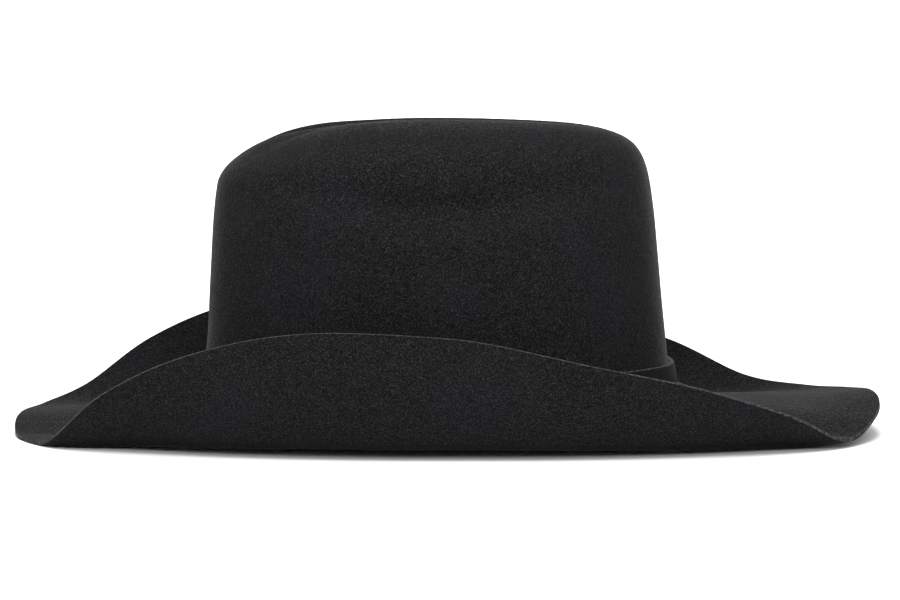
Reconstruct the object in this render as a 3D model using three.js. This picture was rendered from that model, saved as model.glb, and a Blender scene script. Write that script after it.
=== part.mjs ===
import * as THREE from "three";

// Western hat in black felt, in millimetres.
// +X is the front of the hat, +Y the wearer's left, +Z up. The brim rests on z = 0.
// A turn is an angle round the head, in degrees: 0 front, 90 left side, 180 back, 270 right side.

const feltThickness = 2;
const noseReach = 0.6; // the cut edge of the brim is rounded out by this much
const turnSteps = 80;
const turnStep = 360 / turnSteps;

const footHeight = 21; // where the brim leaves the crown, through the middle of the felt
const restHeight = 0.9; // middle of the felt where the brim is pressed flat by its own weight
const crownCentreX = -4.2;
const sideDentStart = 60; // the side dents act in full beyond this distance from the middle

const brimFront = 193.8; // from the crown centre to the front tip of the brim
const brimBack = 185.4;
const brimSide = 124.5;
const brimOvalFront = 2.4; // power of the oval: 2 is an ellipse, more is squarer
const brimOvalBack = 2.3;

// How long a section of the brim keeps its direction at each bend, as a share of its length there.
const leaveHold = 0.38;
const troughHoldInside = 0.42;
const troughHoldOutside = 0.5;
const edgeHold = 0.45;

const bandBottom = 22.4;
const bandTop = 30.9;
const bandThickness = 2.3;
const bandGap = 0.3;
const bandRounding = 0.8;

// Rings of the crown from its foot to the ridges on top, through the middle of the felt.
const crownRings = [
  { height: 24.5, front: 101.9, back: 102.6, side: 83.4, power: 2.15 },
  { height: 31.0, front: 100.7, back: 101.6, side: 82.4, power: 2.15 },
  { height: 44.0, front: 99.2, back: 100.4, side: 81.4, power: 2.15 },
  { height: 60.0, front: 97.5, back: 99.6, side: 80.4, power: 2.15 },
  { height: 75.0, front: 96.2, back: 98.7, side: 79.3, power: 2.15 },
  { height: 86.0, front: 95.3, back: 98.0, side: 78.4, power: 2.2 },
  { height: 94.0, front: 94.6, back: 97.4, side: 77.6, power: 2.2 },
  { height: 100.0, front: 93.9, back: 96.8, side: 76.8, power: 2.2 },
  { height: 106.0, front: 93.1, back: 96.0, side: 75.6, power: 2.2 },
  { height: 111.0, front: 92.2, back: 94.8, side: 74.1, power: 2.25 },
  { height: 116.5, front: 90.8, back: 90.9, side: 71.6, power: 2.3 },
  { height: 122.0, front: 88.4, back: 84.0, side: 67.6, power: 2.35 },
  { height: 127.0, front: 83.9, back: 76.2, side: 61.8, power: 2.45 },
  { height: 131.2, front: 75.2, back: 66.4, side: 54.6, power: 2.6 },
  { height: 134.1, front: 61.6, back: 53.0, side: 46.2, power: 2.8 },
  { height: 135.6, front: 43.0, back: 34.0, side: 38.6, power: 2.8 },
  { height: 136.4, front: 30.0, back: 24.0, side: 31.0, power: 2.6 },
];
const topShares = [0.74, 0.46, 0.2]; // rings inside the last one, down into the crease

// The long crease on top of the crown.
const creaseDepth = 23;
const creaseHalfWidth = 33;
const creaseFront = 82;
const creaseBack = 86;

// Soft hollows on each side of the crown. The bow is how much higher a hollow lies at its ends.
const sideDents = [
  { x: -3, height: 99, bow: 11, halfLength: 64, halfHeight: 9.5, depth: 4.4 },
  { x: 4, height: 99, bow: 0, halfLength: 38, halfHeight: 28, depth: 3.6 },
  { x: -3, height: 87, bow: 14, halfLength: 62, halfHeight: 6, depth: -1.0 },
  { x: -64, height: 110, bow: 0, halfLength: 16, halfHeight: 7, depth: 1.5 },
  { x: 48, height: 109, bow: 0, halfLength: 20, halfHeight: 9, depth: 2.4 },
];

// Sections of the brim, through the middle of the felt. It leaves the crown at the leave angle, is
// level in the trough, at a share of the way out, and ends at the edge with the curl angle.
const brimSections = [
  { turn: 0, share: 0.52, trough: 10.5, troughRight: 10.5, edge: 15.4, edgeRight: 15.4, leave: -22, curl: 8 },
  { turn: 15, share: 0.52, trough: 10.4, troughRight: 8.6, edge: 13.3, edgeRight: 10.6, leave: -24, curl: 8 },
  { turn: 30, share: 0.55, trough: 8.8, troughRight: 1.2, edge: 11.4, edgeRight: 3.6, leave: -30, curl: 14 },
  { turn: 45, share: 0.55, trough: 6.0, troughRight: 1.5, edge: 14.4, edgeRight: 16.2, leave: -38, curl: 40 },
  { turn: 60, share: 0.52, trough: 2.6, troughRight: 2.8, edge: 30.7, edgeRight: 28.7, leave: -46, curl: 62 },
  { turn: 75, share: 0.5, trough: 0.4, troughRight: 4.2, edge: 40.2, edgeRight: 39.3, leave: -50, curl: 78 },
  { turn: 90, share: 0.5, trough: 0.2, troughRight: 4.6, edge: 51.3, edgeRight: 51.2, leave: -52, curl: 86 },
  { turn: 105, share: 0.5, trough: 0.2, troughRight: 4.8, edge: 53.0, edgeRight: 52.2, leave: -52, curl: 84 },
  { turn: 120, share: 0.5, trough: 0.4, troughRight: 3.8, edge: 46.4, edgeRight: 42.6, leave: -48, curl: 74 },
  { turn: 135, share: 0.52, trough: 2.0, troughRight: 2.2, edge: 32.0, edgeRight: 25.4, leave: -40, curl: 56 },
  { turn: 150, share: 0.55, trough: 4.5, troughRight: 1.0, edge: 12.7, edgeRight: 2.8, leave: -32, curl: 26 },
  { turn: 165, share: 0.55, trough: 6.0, troughRight: 2.4, edge: 6.2, edgeRight: 1.0, leave: -26, curl: 4 },
  { turn: 180, share: 0.55, trough: 6.5, troughRight: 6.5, edge: 5.8, edgeRight: 5.8, leave: -24, curl: -2 },
];
const brimSteps = [0, 0.035, 0.09, 0.17, 0.27, 0.37, 0.46, 0.54, 0.63, 0.73, 0.83, 0.92, 1];
const sectionStep = 15;

const radians = (degrees) => (degrees * Math.PI) / 180;

function signedPower(value, power) {
  return Math.sign(value) * Math.abs(value) ** power;
}

// Point of an oval about the crown centre, with its own length to the front and to the back.
function oval(turn, front, back, side, powerFront, powerBack) {
  const cos = Math.cos(radians(turn));
  const sin = Math.sin(radians(turn));
  const power = cos > 0 ? powerFront : powerBack;
  const length = cos > 0 ? front : back;
  return {
    x: crownCentreX + length * signedPower(cos, 2 / power),
    y: side * signedPower(sin, 2 / power),
  };
}

// Value between four evenly spaced ones, on a smooth curve through the middle two.
function smoothBetween(before, start, end, after, share) {
  const slopeStart = (end - before) / 2;
  const slopeEnd = (after - start) / 2;
  const a = 2 * (start - end) + slopeStart + slopeEnd;
  const b = 3 * (end - start) - 2 * slopeStart - slopeEnd;
  return ((a * share + b) * share + slopeStart) * share + start;
}

// Column of the brim table at any turn; the right half of the hat may have a column of its own.
function brimValue(turn, column, columnRight) {
  const last = brimSections.length - 1;
  const steps = 2 * last;
  const valueAt = (step) => {
    const index = (step + steps) % steps;
    return index <= last ? brimSections[index][column] : brimSections[steps - index][columnRight];
  };
  const place = turn / sectionStep;
  const start = Math.floor(place);
  const share = place - start;
  return smoothBetween(valueAt(start - 1), valueAt(start), valueAt(start + 1), valueAt(start + 2), share);
}

function bezier(start, startHandle, endHandle, end, t) {
  const s = 1 - t;
  const a = s * s * s;
  const b = 3 * s * s * t;
  const c = 3 * s * t * t;
  const d = t * t * t;
  return {
    out: a * start.out + b * startHandle.out + c * endHandle.out + d * end.out,
    height: a * start.height + b * startHandle.height + c * endHandle.height + d * end.height,
  };
}

function handle(point, degrees, length) {
  return {
    out: point.out + length * Math.cos(radians(degrees)),
    height: point.height + length * Math.sin(radians(degrees)),
  };
}

// One section of the brim: from the foot of the crown through the trough to the edge.
function brimPoint(turn, step) {
  const ring = crownRings[0];
  const foot = oval(turn, ring.front, ring.back, ring.side, ring.power, ring.power);
  const tip = oval(turn, brimFront, brimBack, brimSide, brimOvalFront, brimOvalBack);
  const reach = Math.hypot(tip.x - foot.x, tip.y - foot.y);
  const troughShare = brimValue(turn, "share", "share");
  const start = { out: 0, height: footHeight };
  const trough = { out: reach * troughShare, height: brimValue(turn, "trough", "troughRight") };
  const edge = { out: reach, height: brimValue(turn, "edge", "edgeRight") };
  const leave = brimValue(turn, "leave", "leave");
  const curl = brimValue(turn, "curl", "curl");
  const inner = Math.hypot(trough.out - start.out, trough.height - start.height);
  const outer = Math.hypot(edge.out - trough.out, edge.height - trough.height);
  const inside = step < troughShare;
  const point = inside
    ? bezier(
        start,
        handle(start, leave, leaveHold * inner),
        handle(trough, 180, troughHoldInside * inner),
        trough,
        step / troughShare,
      )
    : bezier(
        trough,
        handle(trough, 0, troughHoldOutside * (edge.out - trough.out)),
        handle(edge, curl + 180, edgeHold * outer),
        edge,
        (step - troughShare) / (1 - troughShare),
      );
  return {
    x: foot.x + ((tip.x - foot.x) * point.out) / reach,
    y: foot.y + ((tip.y - foot.y) * point.out) / reach,
    z: Math.max(point.height, restHeight),
  };
}

function softBump(distance) {
  return Math.exp(-distance * distance);
}

function sideDentDepth(x, height) {
  let depth = 0;
  for (const dent of sideDents) {
    const along = (x - dent.x) / dent.halfLength;
    const middle = dent.height + dent.bow * along * along;
    const up = (height - middle) / dent.halfHeight;
    depth += dent.depth * softBump(along) * softBump(up);
  }
  return depth;
}

function creaseDrop(x, y) {
  const along = x > crownCentreX ? (x - crownCentreX) / creaseFront : (crownCentreX - x) / creaseBack;
  if (along >= 1) {
    return 0;
  }
  const fade = 1 - along * along;
  const across = Math.abs(y) / (creaseHalfWidth * Math.sqrt(fade));
  if (across >= 1) {
    return 0;
  }
  return creaseDepth * fade * Math.cos((across * Math.PI) / 2) ** 2;
}

function crownPoint(turn, ring, share) {
  const point = oval(turn, ring.front * share, ring.back * share, ring.side * share, ring.power, ring.power);
  const dent = sideDentDepth(point.x, ring.height) * Math.min(1, (point.y / sideDentStart) ** 2);
  return {
    x: point.x,
    y: point.y - Math.sign(point.y) * dent,
    z: ring.height - creaseDrop(point.x, point.y),
  };
}

// Rows of points through the middle of the felt, from the edge of the brim to the top of the crown.
function middleRows() {
  const rows = [];
  const around = (pointAt) => {
    const row = [];
    for (let i = 0; i < turnSteps; i += 1) {
      row.push(pointAt(i * turnStep));
    }
    return row;
  };
  for (const step of [...brimSteps].reverse()) {
    rows.push(around((turn) => brimPoint(turn, step)));
  }
  for (const ring of crownRings) {
    rows.push(around((turn) => crownPoint(turn, ring, 1)));
  }
  const lastRing = crownRings[crownRings.length - 1];
  for (const share of topShares) {
    rows.push(around((turn) => crownPoint(turn, lastRing, share)));
  }
  return rows;
}

// Direction out of the felt at each point, away from the head.
function rowNormals(rows) {
  return rows.map((row, r) =>
    row.map((point, i) => {
      const before = row[(i + turnSteps - 1) % turnSteps];
      const after = row[(i + 1) % turnSteps];
      const below = rows[Math.max(r - 1, 0)][i];
      const above = rows[Math.min(r + 1, rows.length - 1)][i];
      const round = new THREE.Vector3().subVectors(after, before);
      const up = new THREE.Vector3().subVectors(above, below);
      return round.cross(up).normalize();
    }),
  );
}

function offsetRows(rows, normals, distance) {
  return rows.map((row, r) =>
    row.map((point, i) => {
      const moved = new THREE.Vector3(point.x, point.y, point.z).addScaledVector(normals[r][i], distance);
      moved.z = Math.max(moved.z, 0); // felt is pressed flat where it rests
      return moved;
    }),
  );
}

// Closed skin from a list of rows; the first and last rows end in a pole or join each other.
function skin(rows, startPole, endPole) {
  const positions = [];
  const triangles = [];
  const count = rows[0].length;
  rows.forEach((row) => row.forEach((point) => positions.push(point.x, point.y, point.z)));
  const joined = startPole === null;
  const bands = joined ? rows.length : rows.length - 1;
  for (let r = 0; r < bands; r += 1) {
    const low = r * count;
    const high = ((r + 1) % rows.length) * count;
    for (let i = 0; i < count; i += 1) {
      const j = (i + 1) % count;
      triangles.push(low + i, low + j, high + j, low + i, high + j, high + i);
    }
  }
  if (!joined) {
    const first = positions.length / 3;
    positions.push(startPole.x, startPole.y, startPole.z, endPole.x, endPole.y, endPole.z);
    const top = (rows.length - 1) * count;
    for (let i = 0; i < count; i += 1) {
      const j = (i + 1) % count;
      triangles.push(first, j, i, first + 1, top + i, top + j);
    }
  }
  const geometry = new THREE.BufferGeometry();
  geometry.setAttribute("position", new THREE.Float32BufferAttribute(positions, 3));
  geometry.setIndex(triangles);
  geometry.computeVertexNormals();
  return geometry;
}

const middleFelt = middleRows();
const feltNormals = rowNormals(middleFelt);
const outerFelt = offsetRows(middleFelt, feltNormals, feltThickness / 2);
const innerFelt = offsetRows(middleFelt, feltNormals, -feltThickness / 2);

function feltBody() {
  const nose = middleFelt[0].map((point, i) => {
    const out = new THREE.Vector3().subVectors(point, middleFelt[1][i]).normalize();
    return new THREE.Vector3(point.x, point.y, point.z).addScaledVector(out, noseReach);
  });
  const lastRing = crownRings[crownRings.length - 1];
  const pole = crownPoint(0, lastRing, 0);
  const insideTop = new THREE.Vector3(pole.x, pole.y, pole.z - feltThickness / 2);
  const outsideTop = new THREE.Vector3(pole.x, pole.y, pole.z + feltThickness / 2);
  return skin([...[...innerFelt].reverse(), nose, ...outerFelt], insideTop, outsideTop);
}

// Outward face of the crown's felt at a height in the lower part of its wall.
function wallPoint(column, height) {
  const i = (column + turnSteps) % turnSteps;
  let row = brimSteps.length - 1;
  while (outerFelt[row + 1][i].z < height) {
    row += 1;
  }
  const lower = outerFelt[row][i];
  const upper = outerFelt[row + 1][i];
  return new THREE.Vector3().lerpVectors(lower, upper, (height - lower.z) / (upper.z - lower.z));
}

function hatband() {
  const bandOutside = bandGap + bandThickness;
  const profile = [
    { out: bandGap, height: bandBottom },
    { out: bandOutside - bandRounding, height: bandBottom },
    { out: bandOutside, height: bandBottom + bandRounding },
    { out: bandOutside, height: bandTop - bandRounding },
    { out: bandOutside - bandRounding, height: bandTop },
    { out: bandGap, height: bandTop },
    { out: bandGap, height: crownRings[0].height },
  ];
  const rows = profile.map((corner) => {
    const row = [];
    for (let i = 0; i < turnSteps; i += 1) {
      const ahead = wallPoint(i + 1, corner.height);
      const behind = wallPoint(i - 1, corner.height);
      const away = new THREE.Vector3(ahead.y - behind.y, behind.x - ahead.x, 0).normalize();
      row.push(wallPoint(i, corner.height).addScaledVector(away, corner.out));
    }
    return row;
  });
  return skin(rows, null, null);
}

const feltColour = 0x1f1f21;
const bandColour = 0x1a1a1c;

const felt = new THREE.Mesh(
  feltBody(),
  new THREE.MeshStandardMaterial({ name: "black_felt", color: feltColour, roughness: 0.95 }),
);
felt.name = "felt_body";

const band = new THREE.Mesh(
  hatband(),
  new THREE.MeshStandardMaterial({ name: "band_felt", color: bandColour, roughness: 0.9 }),
);
band.name = "hatband";

const hat = new THREE.Group();
hat.name = "felt_hat";
hat.add(felt, band);

export default hat;
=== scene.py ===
import math

import bmesh
import bpy
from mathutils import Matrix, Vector, noise


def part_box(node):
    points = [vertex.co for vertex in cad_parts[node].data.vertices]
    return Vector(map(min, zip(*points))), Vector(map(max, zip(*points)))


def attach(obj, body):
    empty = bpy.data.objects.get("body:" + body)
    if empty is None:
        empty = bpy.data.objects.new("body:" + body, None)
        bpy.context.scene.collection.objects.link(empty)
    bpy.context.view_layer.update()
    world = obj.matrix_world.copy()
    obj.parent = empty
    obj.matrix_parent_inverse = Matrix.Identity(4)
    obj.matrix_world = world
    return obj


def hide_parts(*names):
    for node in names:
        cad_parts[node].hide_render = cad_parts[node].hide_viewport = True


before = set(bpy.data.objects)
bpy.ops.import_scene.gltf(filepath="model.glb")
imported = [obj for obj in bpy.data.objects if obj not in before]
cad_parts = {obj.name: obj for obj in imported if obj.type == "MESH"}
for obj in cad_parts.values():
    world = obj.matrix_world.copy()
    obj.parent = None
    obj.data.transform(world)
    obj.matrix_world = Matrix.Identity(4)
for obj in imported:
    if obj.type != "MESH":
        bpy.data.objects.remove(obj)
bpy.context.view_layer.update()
mm = 0.001

# The hat rests on its brim: +X is its front, +Y the wearer's left, +Z up.
# A turn is an angle round the head in degrees, from the front over the left side.


# shared helpers

def linear(hexColour):  # sRGB hex to the linear colour that a shader reads
    channels = [int(hexColour[i:i + 2], 16) / 255 for i in (1, 3, 5)]
    return [c / 12.92 if c <= 0.04045 else ((c + 0.055) / 1.055) ** 2.4 for c in channels] + [1.0]


def perMetre(sizeInMm):  # texture scale that gives a pattern of this size
    return 1.0 / (sizeInMm * mm)


def addNode(tree, kind, settings=None, links=None):  # a link is a node and its output's identifier
    node = tree.nodes.new(kind)
    sockets = {socket.identifier: socket for socket in node.inputs}
    for name, value in (settings or {}).items():
        if name in sockets:
            sockets[name].default_value = value
        else:
            setattr(node, name, value)
    for name, (source, output) in (links or {}).items():
        outputs = {socket.identifier: socket for socket in source.outputs}
        tree.links.new(outputs[output], sockets[name])
    return node


def startMaterial(name):
    material = bpy.data.materials.new(name)
    material.use_nodes = True
    tree = material.node_tree
    tree.nodes.clear()
    return material, tree


def newPiece(name, bm, materials):
    mesh = bpy.data.meshes.new(name)
    bm.to_mesh(mesh)
    bm.free()
    for material in materials:
        mesh.materials.append(material)
    piece = bpy.data.objects.new(name, mesh)
    bpy.context.scene.collection.objects.link(piece)
    return piece


rounding = {
    "segments": 3,
    "angle": 50.0,  # edges sharper than this many degrees are rounded
}


def roundEdges(piece, width):
    corner = piece.modifiers.new("edge rounding", "BEVEL")
    corner.width = width * mm
    corner.segments = rounding["segments"]
    corner.limit_method = "ANGLE"
    corner.angle_limit = math.radians(rounding["angle"])


def smoothBetween(before, start, end, after, share):  # Catmull-Rom between start and end
    slopeStart = (end - before) / 2
    slopeEnd = (after - start) / 2
    a = 2 * (start - end) + slopeStart + slopeEnd
    b = 3 * (end - start) - 2 * slopeStart - slopeEnd
    return ((a * share + b) * share + slopeStart) * share + start


def oval(centreX, turn, front, back, side, powerFront, powerBack):
    cos = math.cos(math.radians(turn))
    sin = math.sin(math.radians(turn))
    power = powerFront if cos > 0 else powerBack
    length = front if cos > 0 else back
    x = centreX + math.copysign(length * abs(cos) ** (2 / power), cos)
    y = math.copysign(side * abs(sin) ** (2 / power), sin)
    return x, y


print("stage 1: materials")

# Fur felt, blocked, pounced and dyed black: a dense nap of fine short fibres. It looks soft and
# dull, a little lighter where the eye skims along the nap, with faint cloudy patches of dye.
furFelt = {
    "name": "fur felt, dyed black, napped",
    "dye": "#080808",
    "patch": "#0b0b0f",
    "patchSize": 38.0,  # sizes and depths in mm
    "patchRange": (0.45, 0.65),
    "fibre": "#313131",
    "fibreSize": 0.6,  # real fibres are 0.02 mm wide, drawn coarse enough to show
    "fibreLength": 0.6,
    "brushedLength": 3.2,  # on level felt the nap is brushed flat, across the hat
    "fibreRange": (0.46, 0.74),
    "tuftSize": 4.0,
    "tuftShare": 1.5,  # relief of the tufts beside that of the fibres
    "roughness": 0.95,
    "sheen": 0.44,
    "sheenRoughness": 0.12,
    "sheenTint": "#8c8a88",
    "specular": 0.08,
    "bump": 0.6,
    "bumpDepth": 0.4,
}

# The same felt where brim and band are cut with a knife and sanded: woollier, and a little paler than
# the nap, partly from the core that shows and partly as a painted highlight along the cut edge, in
# uneven patches from handling.
cutFeltAndHighlight = {
    "name": "fur felt, knife cut and sanded, painted highlight",
    "dye": "#060607",
    "patch": "#1a1a1c",
    "patchSize": 45.0,
    "patchRange": (0.42, 0.6),
    "fibre": "#4c4c4e",
    "fibreSize": 1.1,  # coarser than real, as above
    "fibreLength": 1.1,
    "brushedLength": 1.1,
    "fibreRange": (0.46, 0.66),
    "tuftSize": 2.4,
    "tuftShare": 0.5,
    "roughness": 1.0,
    "sheen": 0.12,
    "sheenRoughness": 0.3,
    "sheenTint": "#a8a6a2",
    "specular": 0.12,
    "bump": 0.6,
    "bumpDepth": 0.3,
}

# The band's strip of the same felt, pressed flat: smoother and a shade darker, its nap laid down.
pressedFelt = {
    "name": "felt strip, pressed flat",
    "dye": "#050506",
    "patch": "#080809",
    "patchSize": 30.0,
    "patchRange": (0.45, 0.65),
    "fibre": "#1d1d1e",
    "fibreSize": 0.6,
    "fibreLength": 1.5,
    "brushedLength": 0.6,
    "fibreRange": (0.46, 0.74),
    "tuftSize": 3.2,
    "tuftShare": 0.2,
    "roughness": 0.9,
    "sheen": 0.03,
    "sheenRoughness": 0.2,
    "sheenTint": "#8c8a88",
    "specular": 0.1,
    "bump": 0.3,
    "bumpDepth": 0.3,
}


def feltMaterial(look):
    material, tree = startMaterial(look["name"])
    fibreNoise = {"Scale": perMetre(look["fibreSize"]), "Detail": 3.0, "Roughness": 0.65}
    place = addNode(tree, "ShaderNodeTexCoord")
    along = addNode(tree, "ShaderNodeMapping",
                    {"Scale": (look["fibreSize"] / look["fibreLength"], 1.0, 1.0)},
                    {"Vector": (place, "Object")})
    standing = addNode(tree, "ShaderNodeTexNoise", fibreNoise, {"Vector": (along, "Vector")})
    across = addNode(tree, "ShaderNodeMapping",
                     {"Scale": (1.0, look["fibreSize"] / look["brushedLength"], 1.0)},
                     {"Vector": (place, "Object")})
    brushed = addNode(tree, "ShaderNodeTexNoise", fibreNoise, {"Vector": (across, "Vector")})
    # the fibres stand on the walls and lie brushed on felt that faces up or down
    facing = addNode(tree, "ShaderNodeSeparateXYZ", None, {"Vector": (place, "Normal")})
    level = addNode(tree, "ShaderNodeMath", {"operation": "ABSOLUTE"}, {"Value": (facing, "Z")})
    levelShare = addNode(tree, "ShaderNodeMapRange", {"From Min": 0.75, "From Max": 0.95},
                         {"Value": (level, "Value")})
    fibres = addNode(tree, "ShaderNodeMix", {"data_type": "FLOAT"},
                     {"Factor_Float": (levelShare, "Result"), "A_Float": (standing, "Fac"),
                      "B_Float": (brushed, "Fac")})
    tufts = addNode(tree, "ShaderNodeTexNoise",
                    {"Scale": perMetre(look["tuftSize"]), "Detail": 4.0, "Roughness": 0.6},
                    {"Vector": (place, "Object")})
    patches = addNode(tree, "ShaderNodeTexNoise",
                      {"Scale": perMetre(look["patchSize"]), "Detail": 2.0, "Roughness": 0.5},
                      {"Vector": (place, "Object")})
    patchLow, patchHigh = look["patchRange"]
    patchShare = addNode(tree, "ShaderNodeMapRange", {"From Min": patchLow, "From Max": patchHigh},
                         {"Value": (patches, "Fac")})
    fibreLow, fibreHigh = look["fibreRange"]
    fibreShare = addNode(tree, "ShaderNodeMapRange", {"From Min": fibreLow, "From Max": fibreHigh},
                         {"Value": (fibres, "Result_Float")})
    # dye in cloudy patches, with paler fibre tips over it
    dyed = addNode(tree, "ShaderNodeMix",
                   {"data_type": "RGBA", "A_Color": linear(look["dye"]),
                    "B_Color": linear(look["patch"])},
                   {"Factor_Float": (patchShare, "Result")})
    napped = addNode(tree, "ShaderNodeMix", {"data_type": "RGBA", "B_Color": linear(look["fibre"])},
                     {"Factor_Float": (fibreShare, "Result"), "A_Color": (dyed, "Result_Color")})
    # relief of fibres and tufts
    height = addNode(tree, "ShaderNodeMath",
                     {"operation": "MULTIPLY_ADD", "Value_001": look["tuftShare"]},
                     {"Value": (tufts, "Fac"), "Value_002": (fibres, "Result_Float")})
    bump = addNode(tree, "ShaderNodeBump",
                   {"Strength": look["bump"], "Distance": look["bumpDepth"] * mm},
                   {"Height": (height, "Value")})
    shader = addNode(tree, "ShaderNodeBsdfPrincipled",
                     {"Roughness": look["roughness"], "Specular IOR Level": look["specular"],
                      "Sheen Weight": look["sheen"],
                      "Sheen Roughness": look["sheenRoughness"],
                      "Sheen Tint": linear(look["sheenTint"])},
                     {"Base Color": (napped, "Result_Color"), "Normal": (bump, "Normal")})
    addNode(tree, "ShaderNodeOutputMaterial", None, {"Surface": (shader, "BSDF")})
    return material


nappedFelt = feltMaterial(furFelt)
edgeFeltAndHighlight = feltMaterial(cutFeltAndHighlight)
bandFelt = feltMaterial(pressedFelt)


print("stage 2: crown and brim")

# Sizes in mm, through the middle of the felt. Crown rings run from the foot to the top ridges.
crown = {
    "centreX": -4.2,
    "rings": [
        {"height": 24.5, "front": 101.9, "back": 102.6, "side": 83.4, "power": 2.15},
        {"height": 31.0, "front": 100.7, "back": 101.6, "side": 82.4, "power": 2.15},
        {"height": 44.0, "front": 99.2, "back": 100.4, "side": 81.4, "power": 2.15},
        {"height": 60.0, "front": 97.5, "back": 99.6, "side": 80.4, "power": 2.15},
        {"height": 75.0, "front": 96.2, "back": 98.7, "side": 79.3, "power": 2.15},
        {"height": 86.0, "front": 95.3, "back": 98.0, "side": 78.4, "power": 2.2},
        {"height": 94.0, "front": 94.6, "back": 97.4, "side": 77.6, "power": 2.2},
        {"height": 100.0, "front": 93.9, "back": 96.8, "side": 76.8, "power": 2.2},
        {"height": 106.0, "front": 93.1, "back": 96.0, "side": 75.6, "power": 2.2},
        {"height": 111.0, "front": 92.2, "back": 94.8, "side": 74.1, "power": 2.25},
        {"height": 116.5, "front": 90.8, "back": 90.9, "side": 71.6, "power": 2.3},
        {"height": 122.0, "front": 88.4, "back": 84.0, "side": 67.6, "power": 2.35},
        {"height": 127.0, "front": 83.9, "back": 76.2, "side": 61.8, "power": 2.45},
        {"height": 131.2, "front": 75.2, "back": 66.4, "side": 54.6, "power": 2.6},
        {"height": 134.1, "front": 61.6, "back": 53.0, "side": 46.2, "power": 2.8},
        {"height": 135.6, "front": 43.0, "back": 34.0, "side": 38.6, "power": 2.8},
        {"height": 136.4, "front": 30.0, "back": 24.0, "side": 31.0, "power": 2.6},
    ],
    "stepsPerRing": 4,
    "topSteps": 14,
    "creaseDepth": 23.0,
    "creaseHalfWidth": 33.0,
    "creaseFront": 82.0,
    "creaseBack": 86.0,
    "ridgeDrop": {"x": -69.0, "halfLength": 22.0, "fullSide": 30.0, "fullHeight": 124.0,
                  "startHeight": 104.0, "drop": 2.6},  # the right ridge sinks a little at the back
    "dentStart": 60.0,  # the side dents act in full beyond this distance from the middle
    # the long one bows down in the middle, in a soft hollow, with a lip below it and a tuck at each end
    "dents": [
        {"x": -3.0, "height": 99.0, "bow": 11.0, "halfLength": 64.0, "halfHeight": 9.5, "depth": 4.4},
        {"x": 4.0, "height": 99.0, "bow": 0.0, "halfLength": 38.0, "halfHeight": 28.0, "depth": 3.6},
        {"x": -3.0, "height": 87.0, "bow": 14.0, "halfLength": 62.0, "halfHeight": 6.0, "depth": -1.0},
        {"x": -64.0, "height": 110.0, "bow": 0.0, "halfLength": 16.0, "halfHeight": 7.0, "depth": 1.5},
        {"x": 48.0, "height": 109.0, "bow": 0.0, "halfLength": 20.0, "halfHeight": 9.0, "depth": 2.4},
    ],
}

# Brim sections every 15 degrees: leave angle at the crown, level trough, curl angle at the edge.
# The last two columns are the right half's own; the brim was shaped by hand.
brim = {
    "front": 193.8,
    "back": 185.4,
    "side": 124.5,
    "powerFront": 2.4,
    "powerBack": 2.3,
    "footHeight": 21.0,
    "restHeight": 1.0,
    "footHold": 0.38,  # how far each end holds its direction, as a share of its stretch
    "troughHoldIn": 0.42,
    "troughHoldOut": 0.5,
    "edgeHold": 0.45,
    "steps": 46,
    "sectionStep": 15.0,
    "columns": ("share", "leave", "curl", "trough", "edge", "troughRight", "edgeRight"),
    "sections": [
        (0.52, -22, 8, 10.5, 15.4, 10.5, 15.4),
        (0.52, -24, 8, 10.4, 13.3, 8.6, 10.6),
        (0.55, -30, 14, 8.8, 11.4, 1.2, 3.6),
        (0.55, -38, 40, 6.0, 14.4, 1.5, 16.2),
        (0.52, -46, 62, 2.6, 30.7, 2.8, 28.7),
        (0.5, -50, 78, 0.4, 40.2, 4.2, 39.3),
        (0.5, -52, 86, 0.2, 51.3, 4.6, 51.2),
        (0.5, -52, 84, 0.2, 53.0, 4.8, 52.2),
        (0.5, -48, 74, 0.4, 46.4, 3.8, 42.6),
        (0.52, -40, 56, 2.0, 32.0, 2.2, 25.4),
        (0.55, -32, 26, 4.5, 12.7, 1.0, 2.8),
        (0.55, -26, 4, 6.0, 6.2, 2.4, 1.0),
        (0.55, -24, -2, 6.5, 5.8, 6.5, 5.8),
    ],
}

felt = {
    "thickness": 2.0,
    "stepsAround": 264,
    "weld": 0.1,  # also thins out the crowded points at the middle of the top
    "footSoftening": 2,
    "edgeRounding": 0.3,
    "unevenness": 0.35,  # hand shaping leaves the felt this far off a perfect curve
    "unevenSize": 42.0,
    "unevenSeed": 4,  # without a seed Blender takes one from the clock
    "restZone": 4.0,  # felt lower than this isn't pushed down into the floor
}


def brimValue(turn, column):
    sections = brim["sections"]
    last = len(sections) - 1
    names = brim["columns"]

    def valueAt(step):
        index = step % (2 * last)
        if index <= last:
            return sections[index][names.index(column)]
        own = column + "Right"
        return sections[2 * last - index][names.index(own if own in names else column)]

    place = turn / brim["sectionStep"]
    start = math.floor(place)
    four = [valueAt(start + i) for i in (-1, 0, 1, 2)]
    return smoothBetween(*four, place - start)


def towards(point, degrees, length):
    angle = math.radians(degrees)
    return (point[0] + length * math.cos(angle), point[1] + length * math.sin(angle))


def bezier(points, t):
    s = 1 - t
    weights = (s ** 3, 3 * s * s * t, 3 * s * t * t, t ** 3)
    return [sum(w * p[i] for w, p in zip(weights, points)) for i in (0, 1)]


def ringValues(place):  # the ring table read smoothly between its rows
    rings = crown["rings"]
    start = min(math.floor(place), len(rings) - 2)
    rows = [rings[min(max(start + i, 0), len(rings) - 1)] for i in (-1, 0, 1, 2)]
    return {key: smoothBetween(*[row[key] for row in rows], place - start) for key in rings[0]}


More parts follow.
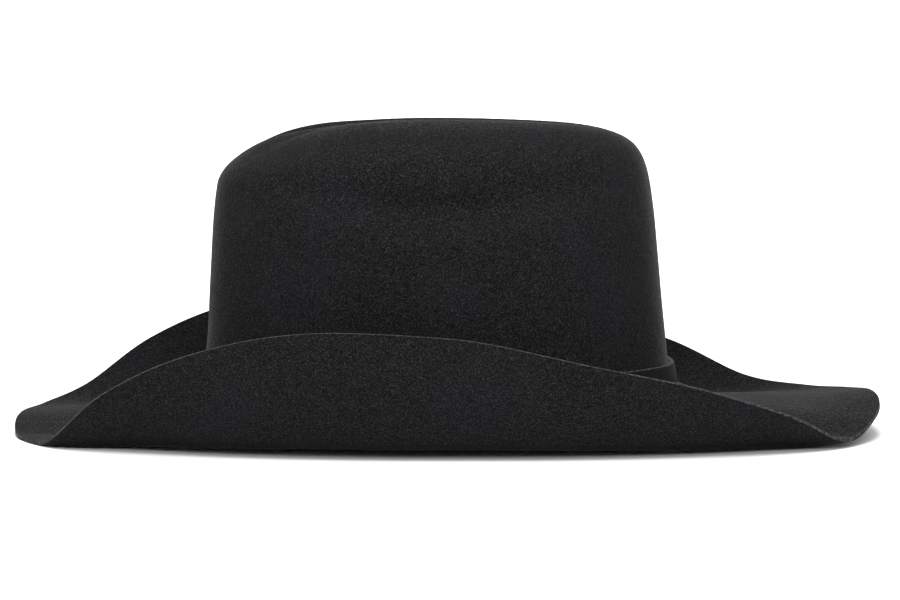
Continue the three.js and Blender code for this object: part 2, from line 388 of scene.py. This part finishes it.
def brimPlace(turn, step):
    foot = crown["rings"][0]
    x0, y0 = oval(crown["centreX"], turn, foot["front"], foot["back"], foot["side"],
                  foot["power"], foot["power"])
    x1, y1 = oval(crown["centreX"], turn, brim["front"], brim["back"], brim["side"],
                  brim["powerFront"], brim["powerBack"])
    reach = math.hypot(x1 - x0, y1 - y0)
    share = brimValue(turn, "share")
    start = (0.0, brim["footHeight"])
    trough = (reach * share, brimValue(turn, "trough"))
    edge = (reach, brimValue(turn, "edge"))
    if step < share:
        length = math.dist(start, trough)
        leaving = towards(start, brimValue(turn, "leave"), brim["footHold"] * length)
        levelling = towards(trough, 180, brim["troughHoldIn"] * length)
        out, height = bezier((start, leaving, levelling, trough), step / share)
    else:
        length = math.dist(trough, edge)
        rising = towards(trough, 0, brim["troughHoldOut"] * (edge[0] - trough[0]))
        curling = towards(edge, brimValue(turn, "curl") + 180, brim["edgeHold"] * length)
        out, height = bezier((trough, rising, curling, edge), (step - share) / (1 - share))
    height = max(height, brim["restHeight"])
    return Vector((x0 + (x1 - x0) * out / reach, y0 + (y1 - y0) * out / reach, height))


def creaseDrop(x, y):
    along = x - crown["centreX"]
    along = along / crown["creaseFront"] if along > 0 else -along / crown["creaseBack"]
    if along >= 1:
        return 0.0
    fade = 1 - along * along
    across = abs(y) / (crown["creaseHalfWidth"] * math.sqrt(fade))
    if across >= 1:
        return 0.0
    return crown["creaseDepth"] * fade * math.cos(across * math.pi / 2) ** 2


def dentDepth(x, height):
    depth = 0.0
    for dent in crown["dents"]:
        along = (x - dent["x"]) / dent["halfLength"]
        up = (height - dent["height"] - dent["bow"] * along * along) / dent["halfHeight"]
        depth += dent["depth"] * math.exp(-along * along - up * up)
    return depth


def ridgeDrop(x, y, height):
    drop = crown["ridgeDrop"]
    if y >= 0 or height <= drop["startHeight"]:
        return 0.0
    up = min(1.0, (height - drop["startHeight"]) / (drop["fullHeight"] - drop["startHeight"]))
    along = (x - drop["x"]) / drop["halfLength"]
    return drop["drop"] * up * min(1.0, (y / drop["fullSide"]) ** 2) * math.exp(-along * along)


def crownPlace(turn, ring, share):
    x, y = oval(crown["centreX"], turn, ring["front"] * share, ring["back"] * share,
                ring["side"] * share, ring["power"], ring["power"])
    height = ring["height"] - creaseDrop(x, y) - ridgeDrop(x, y, ring["height"])
    dent = dentDepth(x, ring["height"]) * min(1.0, (y / crown["dentStart"]) ** 2)
    return Vector((x, y - math.copysign(dent, y), height))


def sectionStations():  # from the middle of the top, over the crown, to the edge of the brim
    lastRing = len(crown["rings"]) - 1
    steps = lastRing * crown["stepsPerRing"]
    top = [("top", i / crown["topSteps"]) for i in range(crown["topSteps"])]
    wall = [("wall", lastRing - i / crown["stepsPerRing"]) for i in range(steps + 1)]
    out = [("brim", i / brim["steps"]) for i in range(brim["steps"] + 1)]
    return top + wall + out


def feltPlace(turn, station):
    part, value = station
    if part == "top":
        return crownPlace(turn, crown["rings"][-1], value)
    if part == "wall":
        return crownPlace(turn, ringValues(value), 1.0)
    return brimPlace(turn, value)


def uneven(place):
    size = felt["unevenSize"]
    return noise.noise_vector(place / size) * felt["unevenness"]


def buildFeltBody():
    noise.seed_set(felt["unevenSeed"])
    stations = sectionStations()
    bm = bmesh.new()
    profile = [bm.verts.new((i * mm, 0, 0)) for i in range(len(stations))]
    edges = [bm.edges.new(pair) for pair in zip(profile, profile[1:])]
    bmesh.ops.spin(bm, geom=profile + edges, cent=(0, 0, 0), axis=(0, 0, 1), dvec=(0, 0, 0),
                   angle=math.tau, steps=felt["stepsAround"], use_merge=True)
    bmesh.ops.remove_doubles(bm, verts=bm.verts, dist=felt["weld"] * mm)
    footStations = (("wall", 0.0), ("brim", 0.0), ("brim", 1 / brim["steps"]))
    foot = []
    for vert in bm.verts:
        index = round(math.hypot(vert.co.x, vert.co.y) / mm)
        turn = math.degrees(math.atan2(vert.co.y, vert.co.x)) % 360
        place = feltPlace(turn, stations[index])
        shift = uneven(place)
        if place.z < felt["restZone"]:
            shift.z = max(shift.z, 0.0)
        vert.co = (place + shift) * mm
        if stations[index] in footStations:
            foot.append(vert)
    for _ in range(felt["footSoftening"]):  # the felt leaves the crown in a small soft bend
        bmesh.ops.smooth_vert(bm, verts=foot, factor=0.5,
                              use_axis_x=True, use_axis_y=True, use_axis_z=True)
    bmesh.ops.recalc_face_normals(bm, faces=bm.faces)
    if sum(face.normal.z for face in bm.faces) < 0:
        bmesh.ops.reverse_faces(bm, faces=bm.faces)
    for face in bm.faces:
        face.smooth = True
    piece = newPiece("felt_hat_body", bm, [nappedFelt, edgeFeltAndHighlight])
    wall = piece.modifiers.new("felt thickness", "SOLIDIFY")
    wall.thickness = felt["thickness"] * mm
    wall.offset = 0.0
    wall.use_even_offset = True
    # the rim takes the paler cut-edge felt, partly a painted highlight
    wall.material_offset_rim = 1  # the rim is the cut edge
    roundEdges(piece, felt["edgeRounding"])
    return piece


feltBody = buildFeltBody()
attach(feltBody, "root")
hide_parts("felt_body")


print("stage 3: band")

# A strip of felt round the foot of the crown. It is spun as a plain ring, then laid on the crown.
band = {
    "thickness": 2.3,
    "gap": 0.3,
    "edgeRounding": 0.5,
    "spunRadius": 100.0,
    "stepsAround": 264,
    "stepsUp": 8,
    "weld": 0.01,
    "sideStep": 0.5,  # degrees to each side, to find which way the crown faces
    "cutFacing": 0.7,  # faces that look up or down by more than this are cut edges
}


def buildBand():
    low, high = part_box("hatband")
    bottom, top = low[2] / mm, high[2] / mm
    bm = bmesh.new()
    outward = band["gap"] + band["thickness"]
    rise = (top - bottom) / band["stepsUp"]
    corners = [(band["gap"], bottom)]
    corners += [(outward, bottom + rise * i) for i in range(band["stepsUp"] + 1)]
    corners += [(band["gap"], top)]
    section = [bm.verts.new(((band["spunRadius"] + out) * mm, 0, height * mm))
               for out, height in corners]
    edges = [bm.edges.new(pair) for pair in zip(section, section[1:] + section[:1])]
    bmesh.ops.spin(bm, geom=section + edges, cent=(0, 0, 0), axis=(0, 0, 1), dvec=(0, 0, 0),
                   angle=math.tau, steps=band["stepsAround"], use_merge=True)
    bmesh.ops.remove_doubles(bm, verts=bm.verts, dist=band["weld"] * mm)
    wall = felt["thickness"] / 2
    foot, second = crown["rings"][0]["height"], crown["rings"][1]["height"]
    for vert in bm.verts:
        turn = math.degrees(math.atan2(vert.co.y, vert.co.x)) % 360
        out = math.hypot(vert.co.x, vert.co.y) / mm - band["spunRadius"] + wall
        height = vert.co.z / mm
        ring = ringValues(max(0.0, (height - foot) / (second - foot)))
        here = crownPlace(turn, ring, 1.0)
        ahead = crownPlace(turn + band["sideStep"], ring, 1.0)
        behind = crownPlace(turn - band["sideStep"], ring, 1.0)
        away = Vector((ahead.y - behind.y, behind.x - ahead.x, 0)).normalized()
        place = here + away * out
        place.z = height
        vert.co = (place + uneven(here)) * mm  # it follows the unevenness of the crown
    bmesh.ops.recalc_face_normals(bm, faces=bm.faces)
    for face in bm.faces:
        face.smooth = True
        # faces that look up or down take the paler cut-edge felt, partly a painted highlight
        face.material_index = 1 if abs(face.normal.z) > band["cutFacing"] else 0
    piece = newPiece("felt_band", bm, [bandFelt, edgeFeltAndHighlight])
    roundEdges(piece, band["edgeRounding"])
    return piece


feltBand = buildBand()
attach(feltBand, "root")
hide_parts("hatband")


print("stage 4: floor, light and camera")

studio = {  # in metres: a paper sweep that bends up behind the hat
    "floorColour": "#f2f2f1",
    "floorWidth": 9.0,
    "floorFront": -3.0,
    "floorBack": 3.2,
    "wallHeight": 4.0,
    "bend": 1.2,
    "bendSegments": 24,
    "worldColour": "#ffffff",
    "worldStrength": 0.88,
}

softboxes = [  # in metres and watts
    {"name": "top", "place": (0.0, -0.75, 1.5), "aim": (0, 0, 0.05), "size": 0.7, "power": 20.0},
    {"name": "front", "place": (0.0, -1.9, 0.9), "aim": (0, 0, 0.07), "size": 0.8, "power": 13.0},
    {"name": "backdrop", "place": (0, 1.2, 2.6), "aim": (0, 3.2, 0.8), "size": 1.6, "power": 90.0},
]

camera = {
    "eye": (1.35, -1280.0, 154.0),  # mm, where the photograph was taken from
    "focalPixels": 2906.0,
    "imageWidth": 900,
    "horizonAbove": 220.0,  # pixels from the middle of the picture up to the horizon
    "clipStart": 0.05,
    "clipEnd": 50.0,
}


def buildFloor():
    material, tree = startMaterial("pale paper sweep")
    shader = addNode(tree, "ShaderNodeBsdfPrincipled",
                     {"Base Color": linear(studio["floorColour"]), "Roughness": 1.0,
                      "Specular IOR Level": 0.0})
    addNode(tree, "ShaderNodeOutputMaterial", None, {"Surface": (shader, "BSDF")})
    bm = bmesh.new()
    half = studio["floorWidth"] / 2
    fold = bm.edges.new([bm.verts.new((x, studio["floorFront"], 0)) for x in (-half, half)])
    for move in ((0, studio["floorBack"] - studio["floorFront"], 0), (0, 0, studio["wallHeight"])):
        moved = bmesh.ops.extrude_edge_only(bm, edges=[fold])["geom"]
        ends = [part for part in moved if isinstance(part, bmesh.types.BMVert)]
        fold = next(part for part in moved if isinstance(part, bmesh.types.BMEdge)
                    and all(end in ends for end in part.verts))
        bmesh.ops.translate(bm, verts=ends, vec=move)
    bend = [edge for edge in bm.edges if all(v.co.z == 0 and v.co.y > 0 for v in edge.verts)]
    bmesh.ops.bevel(bm, geom=bend, offset=studio["bend"], affect="EDGES",
                    segments=studio["bendSegments"], profile=0.5, material=-1)
    bmesh.ops.recalc_face_normals(bm, faces=bm.faces)
    for face in bm.faces:
        face.smooth = True
    floor = newPiece("floor", bm, [material])


def aimed(thing, place, aim):
    thing.location = place
    thing.rotation_euler = (Vector(aim) - Vector(place)).to_track_quat("-Z", "Y").to_euler()


def buildLights():
    for box in softboxes:
        name = box["name"] + " softbox"
        light = bpy.data.lights.new(name, "AREA")
        light.shape = "DISK"
        light.size = box["size"]
        light.energy = box["power"]
        thing = bpy.data.objects.new(name, light)
        bpy.context.scene.collection.objects.link(thing)
        aimed(thing, box["place"], box["aim"])
    world = bpy.data.worlds.new("soft room")
    world.use_nodes = True
    background = world.node_tree.nodes["Background"]
    background.inputs["Color"].default_value = linear(studio["worldColour"])
    background.inputs["Strength"].default_value = studio["worldStrength"]
    bpy.context.scene.world = world


def buildCamera():
    data = bpy.data.cameras.new("photo view")
    data.lens = camera["focalPixels"] / camera["imageWidth"] * data.sensor_width
    data.clip_start = camera["clipStart"]
    data.clip_end = camera["clipEnd"]
    thing = bpy.data.objects.new("photo view", data)
    bpy.context.scene.collection.objects.link(thing)
    eye = Vector(camera["eye"]) * mm
    pitch = math.atan(camera["horizonAbove"] / camera["focalPixels"])
    aimed(thing, eye, eye + Vector((0, math.cos(pitch), -math.sin(pitch))))
    bpy.context.scene.camera = thing


buildFloor()
buildLights()
buildCamera()
bpy.context.scene.view_settings.view_transform = "Standard"

print("stage 5: done")
